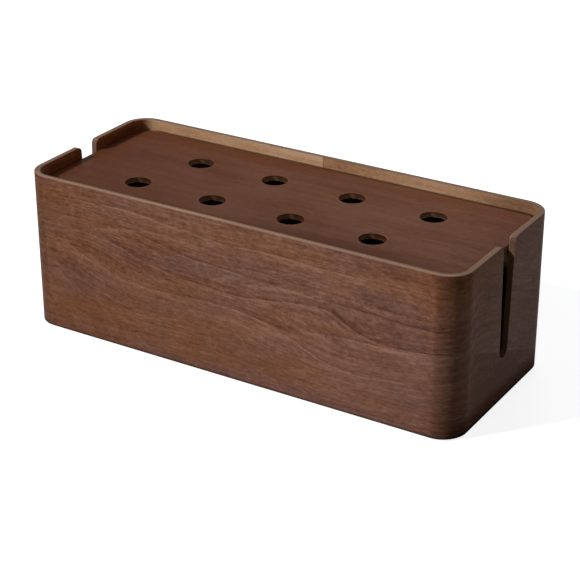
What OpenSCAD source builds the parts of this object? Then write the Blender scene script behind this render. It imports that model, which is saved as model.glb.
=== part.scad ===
// Cable management box, in millimetres. Two moulded ply halves are lapped together into one
// wall, wrapped in a single veneer and slotted at both ends. A base panel sits in a groove, and
// a drilled lid lifts off two ledges. The origin is the centre of the footprint, on the floor:
// +X runs along the box, -Y is the front and +Z is up.

/* [Box] */
// Outside length of the box
box_length = 400; // [340:5:480]
// Outside width of the box
box_width = 162; // [140:1:200]
// Height of the wall, from its bottom edge to the rim
wall_height = 135.5; // [125:0.5:160]
// Outside radius of the four upright corners
corner_radius = 21; // [18:0.5:30]

/* [Wall] */
// Thickness of the wall, with the veneer on its outside
wall_thickness = 5; // [4.5:0.1:7]
// Thickness of the veneer that wraps the outside
veneer_thickness = 0.6; // [0.4:0.1:0.8]
// Radius on both edges of the rim, and of the bottom edge
edge_radius = 0.5; // [0.3:0.1:1]
// Length of the lap where the two halves of the wall are glued together
lap_length = 14; // [8:1:30]

/* [Cable slots] */
// Width of a slot at the rim, before its corners are rounded
slot_mouth = 20.8; // [16:0.1:26]
// Radius of a slot's round end
slot_end_radius = 7; // [4:0.5:7.5]
// Depth of a slot below the rim
slot_depth = 97.8; // [60:0.1:105]
// Radius of the corners where a slot meets the rim
slot_corner_radius = 4.5; // [2:0.5:6]

/* [Lid] */
// Thickness of the lid
lid_thickness = 5; // [4:0.5:6]
// Depth of the lid's top face below the rim
lid_drop = 9.3; // [4:0.1:14]
// Gap between the lid's edge and the wall
lid_gap = 1.5; // [0.5:0.1:2]
// Radius on the lid's edges
lid_edge_radius = 1.3; // [0.3:0.1:1.5]
// Diameter of a hole in the lid
hole_diameter = 22; // [16:0.5:28]
// Width of the chamfer on both edges of a hole
hole_chamfer = 0.2; // [0.2:0.1:1]
// Number of holes in a row
holes_per_row = 4; // [1:1:4]
// Distance between neighbouring holes in a row
hole_pitch = 73.5; // [40:0.5:74]
// Distance between the two rows of holes
row_spacing = 62; // [36:1:70]
// Distance that one row is shifted along the other
row_shift = 20.4; // [0:0.2:24]

/* [Base] */
// Thickness of the base panel
base_thickness = 5; // [3:0.5:6]
// Height of the base panel's underside above the bottom edge of the wall
base_lift = 6; // [4:0.5:10]
// Depth of the groove in the wall that holds the base panel
groove_depth = 1.5; // [1:0.1:1.6]
// Play of the base panel in its groove
base_play = 0.15; // [0.05:0.05:0.3]

/* [Lid ledges] */
// Width of a ledge, out from the wall
ledge_width = 8; // [6:0.5:12]
// Height of a ledge
ledge_height = 9; // [6:0.5:14]
// Distance of a ledge's ends from where the wall starts to bend
ledge_inset = 14; // [2:1:60]
// Radius on the lower edge of a ledge
ledge_ease = 2; // [1:0.5:4]

/* [Feet] */
// Diameter of a foot where it is stuck to the base panel
foot_diameter = 14; // [10:1:20]
// Diameter of a foot where it meets the floor
tread_diameter = 12; // [8:1:18]
// Distance that the feet lift the bottom edge of the wall off the floor
foot_drop = 1.5; // [0.5:0.1:3]
// Distance of a foot's centre from the outside of the walls beside it
foot_inset = 30; // [24:1:40]

/* [Hidden] */
$fn = 96;
// Distance that a cutter runs past the faces it cuts
past = 1;
// Distance that the drill at a slot's round end cuts beyond the slot's sides
drill_allowance = 0.05;
// Chamfer round the tread of a foot
foot_chamfer = 0.8;

// Colours
WALL_COLOUR = [0.40, 0.27, 0.19];
VENEER_COLOUR = [0.45, 0.32, 0.25];
LID_COLOUR = [0.38, 0.25, 0.19];
BASE_COLOUR = [0.34, 0.23, 0.16];
LEDGE_COLOUR = [0.50, 0.36, 0.26];
FOOT_COLOUR = [0.12, 0.12, 0.12];

// The wall turns round four upright axes, at the corners' centres
axis_x = box_length / 2 - corner_radius;
axis_y = box_width / 2 - corner_radius;
inner_radius = corner_radius - wall_thickness;
core_radius = corner_radius - veneer_thickness;
layer_thickness = (core_radius - inner_radius) / 2;

// Heights above the floor
rim_z = foot_drop + wall_height;
base_z = foot_drop + base_lift;
lid_z = rim_z - lid_drop - lid_thickness;

// Panels inside the wall
lid_length = box_length - 2 * (wall_thickness + lid_gap);
lid_width = box_width - 2 * (wall_thickness + lid_gap);
base_reach = groove_depth - base_play;
base_length = box_length - 2 * (wall_thickness - base_reach);
base_width = box_width - 2 * (wall_thickness - base_reach);

// A ledge keeps to the straight part of its wall
ledge_end_x = axis_x - ledge_inset;

// A slot's sides lean outwards to its mouth. They start a hair inside its drilled round end.
slot_axis_z = rim_z - slot_depth + slot_end_radius;
slot_axis_depth = slot_depth - slot_end_radius;
slot_side_radius = slot_end_radius - drill_allowance;
slot_reach = norm([slot_mouth / 2, slot_axis_depth]);
slot_lean = acos(slot_side_radius / slot_reach) - atan2(slot_axis_depth, slot_mouth / 2);
lip_y = (slot_side_radius + slot_corner_radius) / cos(slot_lean)
    + (slot_axis_depth - slot_corner_radius) * tan(slot_lean);
lip_z = rim_z - slot_corner_radius;

// --- Outlines -----------------------------------------------------------------------------

// An upright bar with its four corners rounded
module eased_bar(width, height, radius) {
    translate([radius, 0])
        square([width - 2 * radius, height]);
    translate([0, radius])
        square([width, height - 2 * radius]);
    for (x = [radius, width - radius], y = [radius, height - radius])
        translate([x, y])
            circle(radius);
}

// A flat rectangle with round corners, centred on the origin
module rounded_rectangle(length, width, radius) {
    square([length - 2 * radius, width], center = true);
    square([length, width - 2 * radius], center = true);
    for (x = [-1, 1], y = [-1, 1])
        translate([x * (length / 2 - radius), y * (width / 2 - radius)])
            circle(radius);
}

// --- Sections: x is the distance out from a corner's axis, y the height -----------------------

module wall_section() {
    translate([inner_radius, foot_drop])
        eased_bar(wall_thickness, wall_height, edge_radius);
}

// The band of the wall's section between two radii
module wall_band(from_radius, to_radius) {
    intersection() {
        wall_section();
        translate([from_radius, 0])
            square([to_radius - from_radius, rim_z + past]);
    }
}

module base_groove() {
    translate([inner_radius - past, base_z])
        square([groove_depth + past, base_thickness + base_play]);
}

// Core of the wall, and the inner and outer layers that it splits into at a lap
module core_section() {
    difference() {
        wall_band(inner_radius, core_radius);
        base_groove();
    }
}

module inner_layer() {
    difference() {
        wall_band(inner_radius, inner_radius + layer_thickness);
        base_groove();
    }
}

module outer_layer() {
    wall_band(inner_radius + layer_thickness, core_radius);
}

module veneer_section() {
    wall_band(core_radius, corner_radius);
}

module ledge_section() {
    translate([inner_radius - ledge_width, lid_z - ledge_height]) {
        translate([ledge_ease, 0])
            square([ledge_width - ledge_ease, ledge_height]);
        translate([0, ledge_ease])
            square([ledge_width, ledge_height - ledge_ease]);
        translate([ledge_ease, ledge_ease])
            circle(ledge_ease);
    }
}

// Half of a panel's section, from a corner's axis to the eased edge
module panel_edge_section(radius, thickness, edge) {
    intersection() {
        translate([-radius, 0])
            eased_bar(2 * radius, thickness, edge);
        square([radius, thickness]);
    }
}

// --- Sweeps: a section goes clockwise round the box, seen from above --------------------------

module along_back(from_x, to_x, out_y) {
    translate([from_x, out_y, 0])
        rotate([90, 0, 90])
            linear_extrude(to_x - from_x)
                children();
}

module along_front(from_x, to_x, out_y) {
    rotate(180)
        along_back(-from_x, -to_x, out_y)
            children();
}

// The two corners at the right end and the straight wall between them
module round_right_end(x, y) {
    translate([x, y, 0])
        rotate_extrude(angle = 90)
            children();
    translate([x, y, 0])
        rotate([90, 0, 0])
            linear_extrude(2 * y)
                children();
    translate([x, -y, 0])
        rotate(-90)
            rotate_extrude(angle = 90)
                children();
}

// All the way round
module round_box(x, y) {
    for (turn = [0, 180])
        rotate(turn) {
            round_right_end(x, y)
                children();
            along_back(-x, x, y)
                children();
        }
}

// --- Cable slot ---------------------------------------------------------------------------

// Half of a slot's outline: a leaning side, from inside the round end to the rounded lip
module half_slot_outline() {
    foot = [
        slot_side_radius * cos(slot_lean),
        slot_axis_z - slot_side_radius * sin(slot_lean)
    ];
    shoulder = [
        lip_y - slot_corner_radius * cos(slot_lean),
        lip_z + slot_corner_radius * sin(slot_lean)
    ];
    difference() {
        polygon([
            [0, foot.y],
            foot,
            shoulder,
            [lip_y, lip_z],
            [lip_y, rim_z + past],
            [0, rim_z + past]
        ]);
        translate([lip_y, lip_z])
            circle(slot_corner_radius);
    }
}

module slot_outline() {
    half_slot_outline();
    mirror([1, 0])
        half_slot_outline();
    translate([0, slot_axis_z])
        circle(slot_end_radius);
}

// Cuts the slot through the right end of the wall
module cut_right_slot() {
    difference() {
        children();
        translate([box_length / 2 - wall_thickness - past, 0, 0])
            rotate([90, 0, 90])
                linear_extrude(wall_thickness + 2 * past)
                    slot_outline();
    }
}

// --- Wall ---------------------------------------------------------------------------------

// One moulded half. Its inner layer runs on past the middle at the back, and its outer layer
// at the front, so that two of them, half a turn apart, lap into one wall.
module wall_half() {
    cut_right_slot() {
        round_right_end(axis_x, axis_y)
            core_section();
        along_back(lap_length / 2, axis_x, axis_y)
            core_section();
        along_back(-lap_length / 2, lap_length / 2, axis_y)
            inner_layer();
        along_front(axis_x, lap_length / 2, axis_y)
            core_section();
        along_front(lap_length / 2, -lap_length / 2, axis_y)
            outer_layer();
    }
}

module left_wall_half() {
    color(WALL_COLOUR)
        rotate(180)
            wall_half();
}

module right_wall_half() {
    color(WALL_COLOUR)
        wall_half();
}

module outer_veneer() {
    color(VENEER_COLOUR)
        cut_right_slot()
            rotate(180)
                cut_right_slot()
                    round_box(axis_x, axis_y)
                        veneer_section();
}

// --- Panels -------------------------------------------------------------------------------

module base_panel() {
    color(BASE_COLOUR)
        translate([0, 0, base_z])
            linear_extrude(base_thickness)
                rounded_rectangle(base_length, base_width, inner_radius + base_reach);
}

// One hole in the lid, chamfered at both faces
module lid_hole() {
    radius = hole_diameter / 2;
    translate([0, 0, -past])
        cylinder(r = radius, h = lid_thickness + 2 * past);
    translate([0, 0, lid_thickness - hole_chamfer])
        cylinder(r1 = radius, r2 = radius + 2 * hole_chamfer, h = 2 * hole_chamfer);
    translate([0, 0, -hole_chamfer])
        cylinder(r1 = radius + 2 * hole_chamfer, r2 = radius, h = 2 * hole_chamfer);
}

// A panel with a rounded edge, swept round its corners and filled in the middle
module lid_blank() {
    radius = inner_radius - lid_gap;
    x = lid_length / 2 - radius;
    y = lid_width / 2 - radius;
    round_box(x, y)
        panel_edge_section(radius, lid_thickness, lid_edge_radius);
    translate([-x, -y, 0])
        cube([2 * x, 2 * y, lid_thickness]);
}

module lid_panel() {
    row_start = -hole_pitch * (holes_per_row - 1) / 2;
    color(LID_COLOUR)
        translate([0, 0, lid_z])
            difference() {
                lid_blank();
                for (row = [-1, 1], i = [0 : holes_per_row - 1])
                    translate([
                        row_start + i * hole_pitch + row * row_shift / 2,
                        row * row_spacing / 2,
                        0
                    ])
                        lid_hole();
            }
}

// --- Ledges under the lid -------------------------------------------------------------------

module back_lid_ledge() {
    color(LEDGE_COLOUR)
        along_back(-ledge_end_x, ledge_end_x, axis_y)
            ledge_section();
}

module front_lid_ledge() {
    color(LEDGE_COLOUR)
        along_front(ledge_end_x, -ledge_end_x, axis_y)
            ledge_section();
}

// --- Feet -----------------------------------------------------------------------------------

// A rubber bumper, wider where it is stuck on. x and y are -1 or 1 and choose the corner.
module foot(x, y) {
    tread = tread_diameter / 2;
    color(FOOT_COLOUR)
        translate([x * (box_length / 2 - foot_inset), y * (box_width / 2 - foot_inset), 0])
            rotate_extrude()
                polygon([
                    [0, 0],
                    [tread - foot_chamfer, 0],
                    [tread, foot_chamfer],
                    [foot_diameter / 2, base_z],
                    [0, base_z]
                ]);
}

module foot_front_left() {
    foot(-1, -1);
}

module foot_front_right() {
    foot(1, -1);
}

module foot_back_left() {
    foot(-1, 1);
}

module foot_back_right() {
    foot(1, 1);
}

left_wall_half();
right_wall_half();
outer_veneer();
base_panel();
front_lid_ledge();
back_lid_ledge();
lid_panel();
foot_front_left();
foot_front_right();
foot_back_left();
foot_back_right();
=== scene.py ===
"""Looks, stage, lights and camera for a walnut cable management box in moulded ply."""
import math

import bpy
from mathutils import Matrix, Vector

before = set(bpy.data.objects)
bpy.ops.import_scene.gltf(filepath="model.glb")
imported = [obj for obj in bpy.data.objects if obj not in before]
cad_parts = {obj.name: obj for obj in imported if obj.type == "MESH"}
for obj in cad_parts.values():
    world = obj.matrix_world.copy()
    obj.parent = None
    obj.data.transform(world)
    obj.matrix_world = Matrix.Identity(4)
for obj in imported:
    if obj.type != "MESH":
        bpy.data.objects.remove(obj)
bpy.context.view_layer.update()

# The box, in millimetres, as the part's source has it. The front is at -Y.
MM = 1000.0
HALF_LENGTH = 200.0
HALF_WIDTH = 81.0
CORNER = 21.0
RIM = 137.0
WALL = 5.0
VENEER = 0.6
LAP_HALF = 7.0
LID_TOP = 127.7
LID_BOTTOM = 122.7
BASE_TOP = 12.5
BASE_BOTTOM = 7.5
SLOT_DEPTH = 97.8
SLOT_MOUTH = 20.8
SLOT_END_RADIUS = 7.0
HOLE_RADIUS = 11.0
HOLE_PITCH = 73.5
ROW = 31.0
ROW_SHIFT = 10.2
STRAIGHT_X = HALF_LENGTH - CORNER
STRAIGHT_Y = HALF_WIDTH - CORNER
TO_END = STRAIGHT_X + CORNER * math.pi / 2
TO_BACK = 2 * TO_END + 2 * STRAIGHT_Y

# One ply's thickness, half the soft line between a veneer and its core, and a distance
# in hole radii that is past every mark a hole leaves.
PLY = 0.95
GLUED_EDGE = 0.04
FAR_AWAY = 9.0

# Wood tones: (dark line, plain wood, light line). Faces shift between warm and cool.
OUTER_WARM = ((0.092, 0.032, 0.013), (0.162, 0.067, 0.034), (0.245, 0.118, 0.068))
OUTER_COOL = ((0.080, 0.036, 0.027), (0.152, 0.073, 0.053), (0.232, 0.130, 0.103))
LID_WARM = ((0.057, 0.016, 0.006), (0.088, 0.028, 0.012), (0.122, 0.044, 0.022))
LID_COOL = ((0.072, 0.027, 0.015), (0.110, 0.046, 0.027), (0.149, 0.067, 0.043))
INNER_LEFT = ((0.190, 0.085, 0.036), (0.335, 0.198, 0.112), (0.420, 0.270, 0.168))
INNER_RIGHT = ((0.185, 0.085, 0.038), (0.315, 0.182, 0.104), (0.410, 0.258, 0.160))
# INNER_LEFT_END is darker and redder than the right end's inner face: painted shade.
INNER_LEFT_END = ((0.115, 0.025, 0.006), (0.205, 0.056, 0.017), (0.295, 0.112, 0.045))
CORE = ((0.190, 0.112, 0.070), (0.290, 0.181, 0.124), (0.370, 0.243, 0.176))
# A darker core for inside the slot: painted shade.
SHADED_SLOT_CORE = ((0.070, 0.028, 0.011), (0.118, 0.056, 0.027), (0.170, 0.092, 0.050))
LID_CORE = ((0.115, 0.052, 0.025), (0.178, 0.086, 0.044), (0.235, 0.125, 0.068))
LEDGE = ((0.190, 0.110, 0.060), (0.300, 0.190, 0.110), (0.370, 0.245, 0.150))
BARE_WOOD = CORE[1]
# A dark line on the long inner faces just above the lid: painted shadow of the gap beside the lid.
GAP_SHADOW_COLOUR = (0.050, 0.017, 0.007)

RUBBER = ((0.012, 0.012, 0.012), (0.022, 0.021, 0.020), (0.045, 0.043, 0.040))

# How glossy the finishes are head-on.
OILED_GLOSS = 0.03
PLANED_GLOSS = 0.08
RUBBER_GLOSS = 0.3

# The stage: a floor that looks white but throws back little light (half its width is in
# metres), the sky's dim light, and the lamps.
WHITE = (1.0, 1.0, 1.0)
FLOOR = ((0.43, 0.43, 0.43), (0.45, 0.45, 0.45), (0.47, 0.47, 0.47))
FLOOR_GLOW = 0.84
FLOOR_BOUNCE = (0.20, 0.20, 0.20)
FLOOR_HALF = 12.0
SKY = (0.93, 0.97, 1.0)
SKY_STRENGTH = 0.22
KEY_LIGHT = (1.0, 0.985, 0.965)

# The growth lines that stand out on the outer veneer. Each has its points (along the
# wall from the middle of the front, drop from the rim) in millimetres.
HIGH_LINE = ((-180, 14), (-130, 12), (-90, 11), (-50, 15), (0, 19), (25, 17), (75, 18), (215, 20))
LEFT_LINE = ((-190, 43), (-155, 41), (-125, 33), (-90, 27), (-50, 23), (-15, 25))
UPPER_LINE = ((-15, 32), (30, 35), (75, 37), (120, 38), (170, 40), (215, 40))
MIDDLE_LINE = ((-95, 28), (-75, 31), (-45, 37), (0, 40), (50, 43), (110, 45), (215, 48))
DEEP_LINE = (
    (-135, 34), (-105, 45), (-60, 56), (-25, 59), (12, 60), (62, 53), (87, 52),
    (117, 64), (140, 68), (180, 65), (215, 59),
)
LONG_LINE = (
    (-190, 43), (-160, 53), (-133, 64), (-90, 74), (-25, 73), (10, 73), (51, 82),
    (90, 97), (112, 100), (140, 97), (185, 89), (215, 83),
)
EYE_LINE = ((50, 83), (62, 77), (87, 73), (112, 71), (150, 70), (190, 66))
FOOT_LINE = ((-190, 128), (-150, 115), (-110, 101), (-60, 96), (-20, 97))
END_LINE = ((200, 66), (215, 70), (250, 84), (285, 97), (320, 112), (350, 120))
END_HIGH_LINE = ((200, 24), (230, 30), (262, 41), (300, 50), (345, 58), (400, 60), (450, 50))
BACK_LINE = ((340, 92), (390, 76), (440, 70), (490, 78), (544, 90))
BACK_HIGH_LINE = ((360, 30), (410, 26), (460, 32), (510, 44), (544, 46))
BACK_LOW_LINE = ((350, 126), (400, 110), (460, 100), (510, 108), (544, 112))
FAR_LINE = (
    (-544, 62), (-490, 48), (-440, 44), (-390, 54), (-340, 66), (-290, 58), (-240, 48),
    (-190, 43),
)
FAR_LOW_LINE = (
    (-544, 104), (-480, 92), (-420, 98), (-350, 108), (-280, 98), (-230, 86), (-185, 80),
)
FAR_HIGH_LINE = ((-544, 22), (-470, 18), (-400, 26), (-330, 32), (-260, 24), (-190, 16))

# For each growth line: how dark it is above and how light below (a minus swaps dark and
# light), and how far the dark and the light reach. Each fades out towards its ends.
LINES = (
    (HIGH_LINE, 0.45, 1.30, 2.5, 1.4),
    (LEFT_LINE, 0.40, 0.55, 2.5, 2.0),
    (UPPER_LINE, 0.80, 0.35, 1.4, 1.2),
    (MIDDLE_LINE, 1.00, 0.40, 1.8, 1.6),
    (DEEP_LINE, 0.95, 0.65, 3.0, 2.2),
    (LONG_LINE, 0.20, 0.75, 3.0, 1.7),
    (EYE_LINE, 0.50, 1.10, 2.5, 1.3),
    (FOOT_LINE, 0.15, 0.20, 4.0, 4.0),
    (END_LINE, -0.20, -0.60, 12.0, 60.0),
    (END_HIGH_LINE, 0.40, 0.30, 2.0, 2.0),
    (BACK_LINE, 0.80, 0.50, 2.0, 2.0),
    (BACK_HIGH_LINE, 0.50, 0.50, 1.6, 1.4),
    (BACK_LOW_LINE, 0.35, 0.55, 3.0, 1.8),
    (FAR_LINE, 0.80, 0.50, 2.0, 2.0),
    (FAR_LOW_LINE, 0.40, 0.55, 3.0, 1.6),
    (FAR_HIGH_LINE, 0.30, 0.55, 2.0, 1.4),
)
LINE_FADE = 35

# The drop round which the two big lines swing, how much the grain follows them, how far
# it falls along the right end, and how far it swings and drifts by chance.
DEEP_LINE_LEVEL = 57
LONG_LINE_LEVEL = 76
FOLLOW = 0.8
END_FALL = 42.0
SWING = 26.0
DRIFT = 2.0

# Soft patches on the front and the right end: centre (along the wall, drop), half sizes,
# lean, how much lighter, how much warmer. Most are figure in the veneer; those at the rounded
# corners, along the foot and low on the right end are painted shade and painted light.
OUTER_FIGURE_AND_SHADE_PATCHES = (
    ((-20, 47), (90, 8), 0.0, -0.10, -0.45),
    ((-98, 56), (18, 9), 0.0, 0.00, -0.10),
    ((42, 77), (17, 5), -1.0, -0.60, 0.10),
    ((107, 56), (16, 5), -2.0, -0.45, 0.10),
    ((-135, 107), (24, 7), 2.0, 0.15, 0.90),
    ((-168, 13), (18, 7), 1.0, 0.10, 0.60),
    ((140, 31), (26, 5), 0.0, -0.05, -0.70),
    ((35, 84), (40, 9), 0.0, 0.65, 0.00),
    ((40, 46), (45, 12), 0.0, 0.30, 0.00),
    ((-40, 100), (50, 10), 0.0, -0.40, 0.10),
    ((-40, 117), (50, 8), 0.0, -0.30, 0.10),
    ((-110, 52), (70, 14), 0.0, -0.25, 0.00),
    ((-140, 96), (50, 18), 0.0, -0.40, 0.00),
    ((130, 133), (90, 7), 0.0, 0.00, -0.35),
    ((-150, 80), (34, 14), 0.0, -0.10, -0.55),
    ((-145, 52), (30, 8), 0.0, -0.10, 0.45),
    ((-70, 38), (20, 7), 0.0, -0.30, 0.00),
    ((80, 14), (120, 14), 0.0, 0.00, 0.40),
    ((165, 10), (30, 16), 0.0, -0.25, 0.30),
    ((172, 72), (20, 14), 0.0, 0.35, -0.10),
    ((170, 90), (40, 50), 0.0, -0.15, -0.40),
    ((183, 70), (12, 90), 0.0, -0.30, 0.20),
    ((204, 70), (8, 90), 0.0, 0.30, 0.20),
    ((-188, 70), (12, 90), 0.0, -0.35, 0.00),
    ((-203, 70), (9, 90), 0.0, -0.90, 0.00),
    ((-40, 132), (190, 6), 0.0, -0.50, -0.45),
    ((-85, 60), (30, 20), 0.0, 0.00, 0.25),
    ((245, 122), (50, 24), 1.2, -1.00, 0.40),
    ((224, 98), (18, 16), 0.0, -0.50, 0.10),
    ((262, 3), (60, 9), 0.0, -0.30, 0.00),
    ((215, 20), (50, 60), 0.0, 0.15, 0.45),
    ((234, 30), (26, 48), 0.0, -0.42, 0.00),
    ((285, 6), (80, 18), 0.0, 0.00, 0.40),
    ((325, 60), (30, 60), 0.0, 0.10, -0.10),
)

# Soft patches on the lid (centre in x and y, half sizes, how much darker); those along the
# front wall are painted shadow of that wall. Soft patches on the inner veneers (centre in x and
# drop, half sizes, how much lighter); the darker one near the right end is painted shade.
LID_TONE_AND_SHADE_PATCHES = (
    ((110, -58), (65, 12), 1.00),
    ((-80, -62), (110, 14), 0.25),
    ((35, -58), (48, 12), 0.60),
    ((-165, 15), (35, 50), 0.30),
    ((196, 20), (28, 60), 0.60),
    ((0, 68), (400, 12), -0.35),
    ((110, 62), (35, 12), -0.35),
)
INNER_RIGHT_PATCHES = (
    ((90, 0), (35, 300), 0.20),
    ((20, 0), (50, 300), -0.50),
    ((180, 0), (45, 300), -0.50),
)
INNER_LEFT_PATCHES = (
    ((-10, 0), (70, 300), 0.50),
    ((-150, 0), (45, 300), -0.30),
)

# Sockets that share their names with others, by number.
RANGE_VALUE, RANGE_START, RANGE_END, RANGE_LOW, RANGE_HIGH = range(5)
MIX_SHARE, MIX_FIRST, MIX_SECOND, MIX_RESULT = 0, 6, 7, 2
SHADER_SHARE, SHADER_FIRST, SHADER_SECOND = range(3)

# The camera, in degrees, millimetres of film and metres.
AZIMUTH = 31.52
ELEVATION = 25.70
FILM_WIDTH = 36.0
LENS = 105.71
DISTANCE = 1.3962
AIM_HEIGHT = 0.06915
AIM_ACROSS = 0.00603
AIM_DOWN = 0.02037


class Signal:
    """One output of a material's nodes. Sums written with it add Math nodes."""

    def __init__(self, finish, socket):
        self.finish = finish
        self.socket = socket

    def math(self, operation, *values):
        settings = {"operation": operation}
        return self.finish.node("Math", settings, dict(enumerate(values)))

    def out(self, name):
        """Another output of the same node."""
        return Signal(self.finish, self.socket.node.outputs[name])

    def __add__(self, other):
        return self.math("ADD", self, other)

    def __radd__(self, other):
        return self.math("ADD", other, self)

    def __sub__(self, other):
        return self.math("SUBTRACT", self, other)

    def __rsub__(self, other):
        return self.math("SUBTRACT", other, self)

    def __mul__(self, other):
        return self.math("MULTIPLY", self, other)

    def __rmul__(self, other):
        return self.math("MULTIPLY", other, self)

    def __truediv__(self, other):
        return self.math("DIVIDE", self, other)

    def __rtruediv__(self, other):
        return self.math("DIVIDE", other, self)

    def __neg__(self):
        return self.math("MULTIPLY", self, -1.0)

    def __abs__(self):
        return self.math("ABSOLUTE", self)

    def above(self, other):
        return self.math("GREATER_THAN", self, other)

    def below(self, other):
        return self.math("LESS_THAN", self, other)

    def least(self, other):
        return self.math("MINIMUM", self, other)

    def most(self, other):
        return self.math("MAXIMUM", self, other)

    def between(self, low, high):
        return self.most(low).least(high)

    def sign(self):
        return self.math("SIGN", self)

    def root(self):
        return self.math("SQRT", self)

    def exp(self):
        return self.math("EXPONENT", self)

    def fraction(self):
        return self.math("FRACT", self)

    def whole(self):
        return self.math("FLOOR", self)

    def turn(self, other):
        """The angle from other's axis to this one's, in radians."""
        return self.math("ARCTAN2", self, other)

    def step(self, start, end, low, high):
        """A soft step from low to high as the signal goes from start to end."""
        settings = {"interpolation_type": "SMOOTHSTEP"}
        inputs = {RANGE_VALUE: self, RANGE_START: start, RANGE_END: end}
        inputs.update({RANGE_LOW: low, RANGE_HIGH: high})
        return self.finish.node("MapRange", settings, inputs)

    def rise(self, start, end, high=1.0):
        """A soft step from 0 up to high."""
        return self.step(start, end, 0.0, high)

    def fall(self, start, end, high=1.0):
        """A soft step from high down to 0."""
        return self.step(start, end, high, 0.0)


class Finish:
    """A material, or the world, in the making: its nodes and the shader they feed."""

    def __init__(self, owner):
        self.owner = owner
        self.owner.use_nodes = True
        self.tree = self.owner.node_tree
        self.tree.nodes.clear()

    def node(self, kind, settings=None, inputs=None, output=0):
        """Adds a node, sets its settings, then its sockets' values or links."""
        made = self.tree.nodes.new("ShaderNode" + kind)
        for name, value in (settings or {}).items():
            if name == "points":
                self.set_points(made.mapping, value)
            else:
                setattr(made, name, value)
        for name, value in (inputs or {}).items():
            if isinstance(value, Signal):
                self.tree.links.new(value.socket, made.inputs[name])
            else:
                made.inputs[name].default_value = value
        return Signal(self, made.outputs[output] if made.outputs else None)

    @staticmethod
    def set_points(mapping, points):
        mapping.extend = "HORIZONTAL"
        line = mapping.curves[0].points
        while len(line) < len(points):
            line.new(0.5, 0.5)
        for point, (x, y) in zip(line, points):
            point.location = (x, y)
        mapping.update()

    def place(self):
        """The point on the piece, in millimetres, as three signals."""
        point = self.node("TexCoord", output="Object")
        parts = self.node("SeparateXYZ", None, {"Vector": point})
        return parts * MM, parts.out("Y") * MM, parts.out("Z") * MM

    def noise(self, x, y, z, detail, roughness):
        """Even noise from about -1 to 1, of one cell per unit. A plain z is its seed."""
        point = self.node("CombineXYZ", None, {"X": x, "Y": y, "Z": z})
        inputs = {"Vector": point, "Scale": 1.0, "Detail": detail, "Roughness": roughness}
        return self.node("TexNoise", None, inputs) * 2.0 - 1.0

    def curve(self, along, points):
        """The drop of a smooth curve through points, level beyond its ends."""
        start = points[0][0]
        length = points[-1][0] - start
        even = [((x - start) / length, drop / RIM) for x, drop in points]
        return self.node("FloatCurve", {"points": even}, {"Value": (along - start) / length}) * RIM

    def mix(self, share, first, second):
        """A colour between two."""
        settings = {"data_type": "RGBA", "clamp_factor": True}
        inputs = {MIX_SHARE: share, MIX_FIRST: opaque(first), MIX_SECOND: opaque(second)}
        return self.node("Mix", settings, inputs, MIX_RESULT)

    def tone(self, light, tones):
        """A colour from dark at -1, through plain at 0, to light at 1."""
        dark_line, plain, light_line = tones
        darker = self.mix(-light, plain, dark_line)
        return self.mix(light, darker, light_line)

    def shade(self, colour, share):
        """A colour made darker or lighter by a factor."""
        return self.node("VectorMath", {"operation": "SCALE"}, {"Vector": colour, "Scale": share})

    def surface(self, colour, roughness, height, gloss):
        """The finished material. Height, in millimetres, is felt as a light bump."""
        bump = {"Height": height, "Distance": 0.001, "Strength": 0.5}
        values = {"Base Color": colour, "Roughness": roughness, "Specular IOR Level": gloss}
        values["Normal"] = self.node("Bump", None, bump)
        shader = self.node("BsdfPrincipled", None, values)
        self.node("OutputMaterial", None, {"Surface": shader})
        return self.owner

    def choose(self, share, first, second):
        """The first shader where share is 0, the second where it is 1."""
        inputs = {SHADER_SHARE: share, SHADER_FIRST: first, SHADER_SECOND: second}
        return self.node("MixShader", None, inputs)

    def seen_directly(self):
        """1 for what the camera, gloss or glass sees, 0 for light on its way to a surface."""
        path = self.node("LightPath", output="Is Camera Ray")
        return path.most(path.out("Is Glossy Ray")).most(path.out("Is Transmission Ray"))


def new_finish(name):
    return Finish(bpy.data.materials.new(name))


def opaque(colour):
    return colour if isinstance(colour, Signal) else (*colour, 1.0)


def bell(along, drop, centre, size, lean=0.0):
    """A soft hump of height 1 round a centre, leaning as it goes down."""
    down = drop - centre[1]
    across = (along - centre[0] + down * lean) / size[0]
    down = down / size[1]
    return (-(across * across + down * down)).exp()


def all_patches(x, y, patches):
    """The sum of soft patches, each with its centre, half sizes and strength."""
    total = 0.0
    for centre, size, strength in patches:
        total = total + bell(x, y, centre, size) * strength
    return total


def round_wall(x, y, wrap):
    """Distance along the wall from its middle, and depth below its outer face.

    wrap is abs for the whole ring, or a function that turns one half to the right.
    """
    x_out = wrap(x)
    over_x = (x_out - STRAIGHT_X).most(0.0)
    over_y = (abs(y) - STRAIGHT_Y).most(0.0)
    level = y.between(-STRAIGHT_Y, STRAIGHT_Y)
    on_long_side = x_out.least(STRAIGHT_X) + over_x.turn(over_y) * CORNER
    along = TO_END + STRAIGHT_Y + level + y.sign() * (TO_END - on_long_side)
    depth = CORNER - (over_x * over_x + over_y * over_y).root()
    return along, depth


def bend(x, y):
    """1 where the wall turns a corner, 0 on its flat sides."""
    over_x = (abs(x) - STRAIGHT_X).most(0.0)
    over_y = (abs(y) - STRAIGHT_Y).most(0.0)
    return over_x.least(over_y).rise(0.0, 4.0)


def from_slot(y, drop):
    """How far a point on an end is from the edge of its tapering, round-ended slot."""
    straight = SLOT_DEPTH - SLOT_END_RADIUS
    taper = (SLOT_MOUTH / 2 - SLOT_END_RADIUS) / straight
    below = (drop - straight).most(0.0)
    half_width = SLOT_MOUTH / 2 - drop.least(straight) * taper
    return (y * y + below * below).root() - half_width


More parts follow.
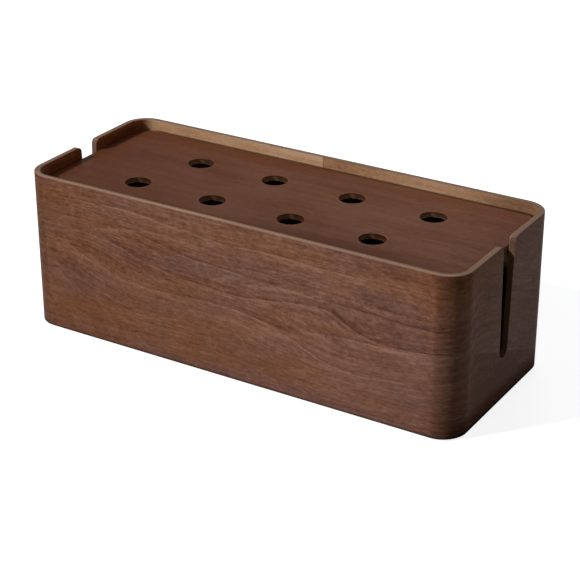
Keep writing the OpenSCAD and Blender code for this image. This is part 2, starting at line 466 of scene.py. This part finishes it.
def from_lid_hole(x, y):
    """A point's place from the nearest hole's centre, in radii: right, back, and how far."""
    along_row = x - y.sign() * ROW_SHIFT
    right = ((along_row / HOLE_PITCH).fraction() - 0.5) * (HOLE_PITCH / HOLE_RADIUS)
    off_row = (abs(y) - ROW) / HOLE_RADIUS
    how_far = (right * right + off_row * off_row).root()
    past_last_hole = abs(along_row).above(2 * HOLE_PITCH)
    return right, off_row * y.sign(), how_far + past_last_hole * FAR_AWAY


def on_panel_face(z, bottom, top):
    """1 on a panel's veneered faces, 0 on the core that its edges show."""
    half_core = (top - bottom) / 2 - VENEER
    from_middle = abs(z - (top + bottom) / 2)
    return from_middle.rise(half_core - GLUED_EDGE, half_core + GLUED_EDGE)


def grain(finish, along, across, seed, deep=0.0):
    """Walnut's fine figure: flecks and clouds, threads along the grain, and pores."""
    streak = finish.noise(along / 26, across / 2.9, deep + seed, detail=3.0, roughness=0.6)
    fleck = finish.noise(along / 5.5, across / 2.3, deep + seed + 7, detail=3.0, roughness=0.75)
    cloud = finish.noise(along / 15, across / 13, seed + 11, detail=4.0, roughness=0.70)
    thread = finish.noise(along / 30, across / 0.5, deep * 2 + seed + 13, detail=2.0, roughness=0.6)
    pore = finish.noise(along / 4.5, across / 0.30, deep * 2 + seed + 17, detail=1.0, roughness=0.4)
    crowd = finish.noise(along / 40, across / 7, seed + 19, detail=1.0, roughness=0.5)
    pores = pore.rise(0.22, 0.55) * crowd.step(-0.5, 0.5, 0.35, 1.0)
    fine = streak * 0.50 + fleck * 0.85 + cloud * 0.45 + thread * 0.20
    return fine, thread, pores


def plies(finish, along, drop, depth, seed):
    """The glued layers seen on an edge: their tone, their grain, and the glue lines."""
    layer = (depth - VENEER) / PLY
    number = layer.whole()
    within = layer.fraction()
    crossways = (number / 2.0).fraction().above(0.25)
    through = depth / 0.5 + seed
    long_grain = finish.noise(along / 30, drop / 0.7, through, detail=2.0, roughness=0.6)
    end_grain = finish.noise(along / 0.7, drop / 30, through, detail=2.0, roughness=0.6)
    both = long_grain + crossways * (end_grain - long_grain)
    tint = finish.noise(number * 3.7, along / 160, seed, detail=1.0, roughness=0.5)
    light = both * 0.8 + tint * 0.6 - crossways * 0.25
    glue = within.fall(0.0, 0.10) + within.rise(0.92, 1.0)
    return light, both, glue


def ply_colour(finish, light, glue, tones):
    return finish.shade(finish.tone(light, tones), 1.0 - glue * 0.35)


def growth_line(finish, along, drop, points, dark, light, dark_reach, light_reach):
    """Tone of one growth line: darker and darker down to it, then abruptly light."""
    below = drop - finish.curve(along, points)
    distance = abs(below)
    under = below.rise(-0.5, 0.6)
    darker = (distance / -dark_reach).exp() * (1.0 - under) * -dark
    lighter = (distance / -light_reach).exp() * under * light
    start, end = points[0][0], points[-1][0]
    shown = along.rise(start, start + LINE_FADE) * along.fall(end - LINE_FADE, end)
    return (darker + lighter) * shown


def growth_lines(finish, along, drop):
    """All the growth lines, wavering a little and fainter here and there."""
    waver = finish.noise(along / 26, drop / 8, 8.3, detail=3.0, roughness=0.6)
    wavy = drop + waver * 1.3
    lines = 0.0
    for points, *strengths in LINES:
        lines = lines + growth_line(finish, along, wavy, points, *strengths)
    broken = finish.noise(along / 12, drop / 5, 61.0, detail=3.0, roughness=0.65)
    return lines * (broken * 1.3 + 0.85).between(0.1, 1.6)


def flow_of_grain(finish, along, drop):
    """Drop as the grain runs: with the front's big lines, and down along the right end."""
    deep = finish.curve(along, DEEP_LINE) - DEEP_LINE_LEVEL
    deep = deep * bell(along, drop, (0, 52), (400, 24))
    long = finish.curve(along, LONG_LINE) - LONG_LINE_LEVEL
    long = long * bell(along, drop, (0, 84), (400, 28))
    on_front = abs(along).fall(200, 230)
    drift = finish.noise(along / 130, drop / 40, 3.1, detail=2.0, roughness=0.5) * DRIFT
    end_fall = along.rise(215, 345) * along.fall(345, 560) * END_FALL
    swing = finish.noise(along / 150, drop / 90, 29.0, detail=1.0, roughness=0.5) * SWING
    followed = (deep + long) * FOLLOW * on_front
    return drop - followed - end_fall - swing * (1.0 - on_front) + drift


def painted_floor_shadow(x, drop):
    """Painted shadow: how dark the wall gets just above the floor, all round and more at the ends.
    """
    all_round = drop.rise(132.2, 134.8, 0.60)
    at_end = (drop.rise(116.0, 131.0, 0.50) + drop.rise(131.5, 134.0, 0.38)) * abs(x).rise(188, 200)
    return all_round, at_end


def outer_veneer():
    """Walnut wrapped round the box, its grain running along it, joined at the back."""
    finish = new_finish("walnut_outer_veneer")
    x, y, z = finish.place()
    along, depth = round_wall(x, y, abs)
    along = along * x.sign()
    drop = RIM - z
    lighter = 0.0
    warmer = 0.0
    # Patches of figure, with painted shade and light at the corners, the foot and low on the right
    # end.
    for centre, size, lean, tone, warmth in OUTER_FIGURE_AND_SHADE_PATCHES:
        patch = bell(along, drop, centre, size, lean)
        lighter = lighter + patch * tone
        warmer = warmer + patch * warmth

    flow = flow_of_grain(finish, along, drop)
    band = finish.noise(along / 90, flow / 5.0, 1.7, detail=2.0, roughness=0.55)
    ribbon = finish.noise(along / 110, flow / 2.0, 5.3, detail=2.0, roughness=0.5)
    zone = finish.noise(along / 90, drop / 38, 11.0, detail=2.0, roughness=0.5)
    fine, thread, pores = grain(finish, along, flow * 0.7 + drop * 0.3, 31.0)
    calm = drop.step(60, 95, 1.0, 0.78) * along.step(190, 230, 1.0, 0.75)
    figure = (band * 0.6 + ribbon * 0.5 + fine * 1.8) * calm
    light = growth_lines(finish, along, drop) + lighter + figure + zone * 0.42

    hue = finish.noise(along / 60, drop / 20, 17.0, detail=3.0, roughness=0.6)
    sideways = along.between(-200.0, 400.0) * abs(along).fall(345, 480)
    slope = (drop - 65) / 500 - sideways / 750
    warm = (hue * 0.75 + slope + warmer + 0.5).between(0.0, 1.0)
    colour = finish.mix(warm, finish.tone(light, OUTER_COOL), finish.tone(light, OUTER_WARM))

    on_end = abs(x).above(HALF_LENGTH - 1)
    worn_slot_edge = from_slot(y, drop).fall(0.3, 1.6, 0.20) * on_end * depth.below(0.1)
    colour = finish.mix(worn_slot_edge, colour, BARE_WOOD)
    cut_in_slot = depth.rise(0.05, 0.2, 0.4) * on_end
    # Painted shade at the rounded corners, more on the left.
    painted_corner_shade = bend(x, y) * x.step(-190, -180, 0.34, 0.22)
    # Painted shadow just above the floor, deeper and higher at the ends.
    foot, end_floor_shadow = painted_floor_shadow(x, drop)
    joint = abs(along).rise(TO_BACK - 0.25, TO_BACK - 0.1)
    kept = (1.0 - cut_in_slot) * (1.0 - painted_corner_shade) * (1.0 - foot) * (1.0 - end_floor_shadow)
    colour = finish.shade(colour, kept * (1.0 - pores * 0.30) * (1.0 - joint * 0.5))
    sanded = finish.noise(along / 14, 2.0, 41.0, detail=2.0, roughness=0.5) * 0.25 + drop
    colour = finish.mix(sanded.fall(0.1, 0.6, 0.40), colour, BARE_WOOD)

    roughness = 0.52 - light * 0.05 + pores * 0.15 + end_floor_shadow * 0.5
    height = fine * 0.02 + thread * 0.03 - pores * 0.12 - joint * 0.1
    return finish.surface(colour, roughness, height, OILED_GLOSS)


def rim_tone(x, y, depth):
    """How bright the core is on the rim: most at the front, least at its inner edge there."""
    tone = y.fall(-78, -70, 0.31) + y.rise(70, 78, 0.03) + 0.62
    tone = tone + bell(x, y, (0, -HALF_WIDTH), (90, 8)) * 0.12
    return tone * (1.0 - depth.rise(3.1, 3.8) * y.fall(-78, -70, 0.45))


def wall_core(finish, x, y, along, drop, depth, seed, right_half):
    """The core on the rim and in the slot, darker in the slot as painted shade, and dark brown at
    the right.
    """
    light, core_grain, glue = plies(finish, along, drop, depth, seed)
    core = ply_colour(finish, light, glue, CORE)
    kept = rim_tone(x, y, depth)
    # Painted shade in the slot: the core darker there, and in the right half a darker core lower
    # down.
    in_slot = drop.rise(0.6, 2.0) * drop.fall(SLOT_DEPTH, SLOT_DEPTH + 3)
    if right_half:
        core = finish.shade(core, kept * 0.90 * (1.0 - in_slot * 0.48))
        slot_core = ply_colour(finish, light, glue, SHADED_SLOT_CORE)
        core = finish.mix(in_slot * drop.rise(7, 12), core, slot_core)
    else:
        core = finish.shade(core, kept * (1.0 - in_slot * 0.25))
    return core, core_grain * 0.03 - glue * 0.05


def inner_shade(x, y, drop, right_half):
    """What share of its brightness the inner face keeps; most of the loss is painted shade.

    It darkens at the rim's edge; as painted shade it darkens at the slots' edges, in the back
    right corner, in all corners further down, and towards the base.
    """
    rim_edge = drop.fall(0.1, 0.6, 0.28)
    slot_edge = from_slot(y, drop)
    # Painted shade at the slots' edges.
    slot_shade = slot_edge.fall(0.1, 0.5, 0.45)
    if not right_half:
        slot_shade = slot_shade.most(slot_edge.fall(0.6, 2.4, 0.72) * y.below(0.0))
    slot_shade = slot_shade * abs(x).above(STRAIGHT_X)
    # Painted shade in the back right corner and, further down, in all four corners.
    corner = bell(x, y, (190, 75), (50, 30)) * 0.42
    deep_corner_shade = bell(abs(x), abs(y), (182, 75), (40, 30)) * drop.rise(18, 40, 0.85)
    kept = (1.0 - rim_edge) * (1.0 - slot_shade) * (1.0 - corner) * (1.0 - deep_corner_shade)
    # Painted shade, darker deeper inside.
    return kept * drop.step(14, 40, 1.0, 0.45) * drop.step(50, 110, 1.0, 0.50)


def inner_veneer(finish, x, y, along, drop, seed, right_half):
    """The walnut inside one half: its colour, its tone and its height."""
    drift = finish.noise(along / 90, drop / 30, seed, detail=2.0, roughness=0.5)
    field = drop + drift * 5
    band = finish.noise(along / 120, field / 4.0, seed + 2, detail=2.0, roughness=0.55)
    zone = finish.noise(along / 45, drop / 30, seed + 4, detail=2.0, roughness=0.5)
    fine, thread, pores = grain(finish, along, field, seed + 9)
    if right_half:
        patches = all_patches(x, drop, INNER_RIGHT_PATCHES)
    else:
        patches = all_patches(x, drop, INNER_LEFT_PATCHES) + drop.fall(2, 5, 0.25)
    patches = patches * y.step(0, 60, 0.25, 1.0)
    light = band * 0.55 + zone * 0.5 + fine * 1.1 + patches
    if right_half:
        colour = finish.tone(light, INNER_RIGHT)
    else:
        # The left end's inner face takes a darker, redder tone, lighter at its top: painted shade
        # and painted light.
        on_end = along.rise(200, 222) * along.fall(345, 360)
        end_colour = finish.tone(light + drop.fall(0, 8, 0.6), INNER_LEFT_END)
        colour = finish.mix(on_end, finish.tone(light, INNER_LEFT), end_colour)
    seam = abs(x + y.sign() * LAP_HALF).fall(0.15, 0.35)
    colour = finish.shade(colour, (1.0 - pores * 0.25) * (1.0 - seam * 0.45))
    # Painted shadow of the gap between the lid and the long walls.
    beside_lid = drop.rise(8.3, 9.4) * drop.fall(14.0, 15.0)
    gap_shadow = beside_lid * abs(y).rise(68, 75) * x.rise(-188, -172)
    colour = finish.mix(gap_shadow * 0.85, colour, GAP_SHADOW_COLOUR)
    colour = finish.shade(colour, inner_shade(x, y, drop, right_half))
    return colour, light, fine * 0.02 + thread * 0.02 - pores * 0.12


def moulded_ply(name, wrap, seed, right_half):
    """One wall half: its core on the cut edges and its inner veneer."""
    finish = new_finish(name)
    x, y, z = finish.place()
    along, depth = round_wall(x, y, wrap)
    drop = RIM - z
    core, core_height = wall_core(finish, x, y, along, drop, depth, seed, right_half)
    inner, light, inner_height = inner_veneer(finish, x, y, along, drop, seed, right_half)
    core_end = WALL - VENEER
    facing = depth.rise(core_end - GLUED_EDGE, core_end + GLUED_EDGE)
    colour = finish.mix(facing, core, inner)
    height = facing * inner_height + core_height
    return finish.surface(colour, 0.6 - light * 0.05, height, OILED_GLOSS)


def lid_walnut():
    """The lid: veneer with its grain lengthways, a pale ring of wear and painted highlight round
    the holes, painted light and shade on their cut faces, on a dark core.
    """
    finish = new_finish("walnut_lid")
    x, y, z = finish.place()
    drift = finish.noise(x / 110, y / 40, 2.0, detail=2.0, roughness=0.5)
    field = y + drift * 6
    band = finish.noise(x / 150, field / 8, 4.0, detail=3.0, roughness=0.55)
    zone = finish.noise(x / 120, y / 45, 9.0, detail=1.0, roughness=0.5)
    fine, thread, pores = grain(finish, x, field, 15.0, z / 4)
    figure = (band * 0.7 + fine * 0.95) * x.step(0, 190, 0.75, 1.1)
    right_of_hole, back_of_hole, from_hole = from_lid_hole(x, y)
    # A pale ring round each hole: wear, and a painted highlight on the hole's edge.
    pale_ring_wear_and_highlight = from_hole.fall(1.02, 1.16, 0.30)
    light = figure + zone * 0.5 + y / 200 - all_patches(x, y, LID_TONE_AND_SHADE_PATCHES) + pale_ring_wear_and_highlight

    hue = finish.noise(x / 90, y / 35, 12.0, detail=2.0, roughness=0.5)
    warmer = bell(x, y, (-80, -56), (130, 14)) * 0.3
    warm = (hue * 0.8 + 0.67 - x / 360 + y / 500 + warmer).between(0.0, 1.0)
    face = finish.mix(warm, finish.tone(light, LID_COOL), finish.tone(light, LID_WARM))
    face = finish.shade(face, 1.0 - pores * 0.2)

    core_light, _, glue = plies(finish, x, y, z - LID_BOTTOM, 41.0)
    # Painted light and shade on the holes' cut faces: darker where the key light falls on them,
    # lighter where it does not, darker towards the top and in the front row.
    back_right = right_of_hole * 0.68 + back_of_hole * 0.73
    hole_light_and_shade = z.step(LID_BOTTOM, LID_TOP, 1.2, 0.6) * back_right.step(-0.05, 0.66, 1.8, 0.25)
    hole_light_and_shade = hole_light_and_shade * y.step(-20, 20, 0.75, 1.0)
    round_edge = 0.6
    kept = round_edge + (hole_light_and_shade - round_edge) * from_hole.below(1.1)
    core = finish.shade(ply_colour(finish, core_light, glue, LID_CORE), kept)

    facing = on_panel_face(z, LID_BOTTOM, LID_TOP)
    colour = finish.mix(facing, core, face)
    roughness = 0.5 - light * 0.05 + pores * 0.12
    height = facing * (fine * 0.015 + thread * 0.02 - pores * 0.1) - glue * 0.04
    return finish.surface(colour, roughness, height, OILED_GLOSS)


def base_ply():
    """The base: plain dark veneer on the same core as the wall."""
    finish = new_finish("walnut_base")
    x, y, z = finish.place()
    drift = finish.noise(x / 140, y / 50, 52.0, detail=2.0, roughness=0.5)
    field = y + drift * 9
    band = finish.noise(x / 180, field / 6, 54.0, detail=2.0, roughness=0.5)
    zone = finish.noise(x / 100, y / 40, 59.0, detail=1.0, roughness=0.5)
    fine, _, pores = grain(finish, x, field, 65.0, z / 4)
    light = band * 0.7 + zone * 0.4 + fine * 0.8
    face = finish.shade(finish.tone(light, OUTER_WARM), 1.0 - pores * 0.2)
    core_light, _, glue = plies(finish, x, y, z - BASE_BOTTOM, 71.0)
    facing = on_panel_face(z, BASE_BOTTOM, BASE_TOP)
    colour = finish.mix(facing, ply_colour(finish, core_light, glue, CORE), face)
    height = facing * (fine * 0.02 - pores * 0.1) - glue * 0.04
    return finish.surface(colour, 0.6 - light * 0.05, height, OILED_GLOSS)


def ledge_wood():
    """The lid's ledges: solid wood, planed, with straight rings."""
    finish = new_finish("ledge_hardwood")
    x, y, z = finish.place()
    ring = finish.noise(x / 160, y / 2.2, z / 2.2, detail=2.0, roughness=0.5)
    fine, _, pores = grain(finish, x, y + z * 0.7, 85.0, z / 2)
    light = ring * 0.6 + fine * 0.8
    colour = finish.shade(finish.tone(light, LEDGE), 1.0 - pores * 0.15)
    height = fine * 0.03 - pores * 0.1
    return finish.surface(colour, 0.6 - light * 0.05, height, PLANED_GLOSS)


def foot_rubber():
    """The feet: matt black rubber with a little dust."""
    finish = new_finish("black_rubber")
    x, y, z = finish.place()
    speck = finish.noise(x / 0.5, y / 0.5, z / 0.5, detail=3.0, roughness=0.6)
    dust = finish.noise(x / 3, y / 3, z / 3, detail=2.0, roughness=0.5)
    colour = finish.tone(speck * 0.5 + dust * 0.5, RUBBER)
    return finish.surface(colour, 0.7 + dust * 0.12, speck * 0.05, RUBBER_GLOSS)


def make_floor():
    """A wide white floor, which throws little light back at the box."""
    finish = new_finish("white_floor")
    x, y, _ = finish.place()
    speck = finish.noise(x / 40, y / 40, 0.0, detail=3.0, roughness=0.6)
    values = {"Base Color": finish.tone(speck * 0.3, FLOOR), "Roughness": 1.0}
    values["Specular IOR Level"] = 0.0
    values["Emission Color"] = opaque(WHITE)
    values["Emission Strength"] = FLOOR_GLOW
    bright = finish.node("BsdfPrincipled", None, values)
    dull = finish.node("BsdfDiffuse", None, {"Color": opaque(FLOOR_BOUNCE)})
    surface = finish.choose(finish.seen_directly(), dull, bright)
    finish.node("OutputMaterial", None, {"Surface": surface})
    mesh = bpy.data.meshes.new("floor")
    half = FLOOR_HALF
    corners = [(-half, -half, 0), (half, -half, 0), (half, half, 0), (-half, half, 0)]
    mesh.from_pydata(corners, [], [(0, 1, 2, 3)])
    mesh.materials.append(finish.owner)
    floor = bpy.data.objects.new("floor", mesh)
    bpy.context.scene.collection.objects.link(floor)


def make_world():
    """A white background that lights the box only dimly."""
    finish = Finish(bpy.data.worlds.new("studio"))
    dim = finish.node("Background", None, {"Color": opaque(SKY), "Strength": SKY_STRENGTH})
    white = finish.node("Background", None, {"Color": opaque(WHITE), "Strength": 1.0})
    surface = finish.choose(finish.seen_directly(), dim, white)
    finish.node("OutputWorld", None, {"Surface": surface})
    bpy.context.scene.world = finish.owner


def make_light(name, towards, strength, spread, colour, in_gloss):
    """A broad soft light from far away, spread over some degrees of the sky."""
    lamp = bpy.data.lights.new(name, "SUN")
    lamp.energy = strength * math.pi
    lamp.angle = math.radians(spread)
    lamp.color = colour
    light = bpy.data.objects.new(name, lamp)
    light.visible_glossy = in_gloss
    towards = Vector(towards).normalized()
    light.location = -towards
    light.rotation_mode = "QUATERNION"
    light.rotation_quaternion = towards.to_track_quat("-Z", "Y")
    bpy.context.scene.collection.objects.link(light)


def make_camera():
    azimuth = math.radians(AZIMUTH)
    elevation = math.radians(ELEVATION)
    across = Vector((math.cos(azimuth), math.sin(azimuth), 0.0))
    flat = math.cos(elevation)
    back = Vector((math.sin(azimuth) * flat, -math.cos(azimuth) * flat, math.sin(elevation)))
    up = back.cross(across)
    aim = Vector((0.0, 0.0, AIM_HEIGHT)) + across * AIM_ACROSS - up * AIM_DOWN
    data = bpy.data.cameras.new("camera")
    data.sensor_width = FILM_WIDTH
    data.lens = LENS
    data.clip_start = 0.05
    data.clip_end = 50.0
    camera = bpy.data.objects.new("camera", data)
    camera.location = aim + back * DISTANCE
    camera.rotation_mode = "QUATERNION"
    camera.rotation_quaternion = (-back).to_track_quat("-Z", "Y")
    bpy.context.scene.collection.objects.link(camera)
    bpy.context.scene.camera = camera


def dress(names, material):
    """Gives CAD nodes their finish."""
    for name in names:
        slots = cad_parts[name].data.materials
        slots.clear()
        slots.append(material)


def as_it_is(x):
    return x


def turned_over(x):
    return -x


dress(["outer_veneer"], outer_veneer())
dress(["right_wall_half"], moulded_ply("moulded_ply_right", as_it_is, 101.0, right_half=True))
dress(["left_wall_half"], moulded_ply("moulded_ply_left", turned_over, 131.0, right_half=False))
dress(["lid_panel"], lid_walnut())
dress(["base_panel"], base_ply())
dress(["front_lid_ledge", "back_lid_ledge"], ledge_wood())
dress([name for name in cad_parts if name.startswith("foot_")], foot_rubber())

make_floor()
make_world()
make_light(
    "key", towards=(0.92, 1.0, -0.88),
    strength=1.31, spread=7.0, colour=KEY_LIGHT, in_gloss=True,
)
make_light(
    "back_fill", towards=(0.45, -1.0, -0.25),
    strength=0.40, spread=40.0, colour=WHITE, in_gloss=False,
)
make_camera()
bpy.context.scene.view_settings.view_transform = "Standard"
